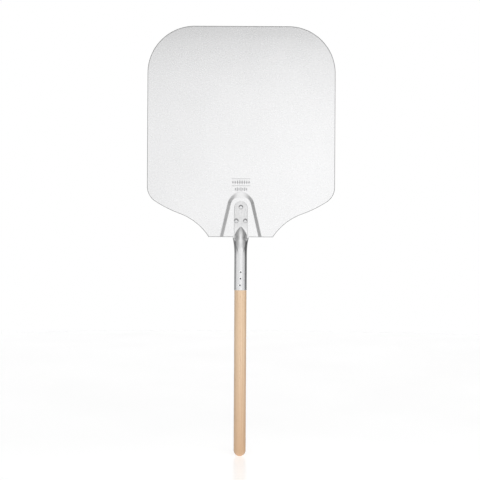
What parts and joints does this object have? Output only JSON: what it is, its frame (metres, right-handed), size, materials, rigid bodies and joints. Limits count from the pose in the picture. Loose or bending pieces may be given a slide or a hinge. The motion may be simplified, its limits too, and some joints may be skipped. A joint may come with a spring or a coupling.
{
  "type": "pizza peel",
  "caption": "Long-handled pizza peel: a wide flat metal blade with rounded corners, riveted to a tubular socket that holds a round wooden handle.",
  "frame": {"origin": "on the handle's axis, at the tip of its round butt", "axes": "+Z along the handle from the butt to the front edge of the blade, -Y out of the food side of the blade, +X to the right seen from the food side"},
  "size_m": [0.406, 0.0332, 0.926],
  "materials": {
    "blade": "satin, finely rolled and lightly brushed",
    "socket": "drawn tube, smooth and semi-bright",
    "handle": "sanded bare beech",
    "rivets": "bright, with coned heads",
    "pins": "dull steel"
  },
  "bodies": {
    "root": {"blade": "blade", "socket": "socket", "handle": "handle", "rivet_top": "rivets", "rivet_left": "rivets", "rivet_right": "rivets", "ferrule_pin_top": "pins", "ferrule_pin_middle": "pins", "ferrule_pin_bottom": "pins"}
  },
  "joints": []
}
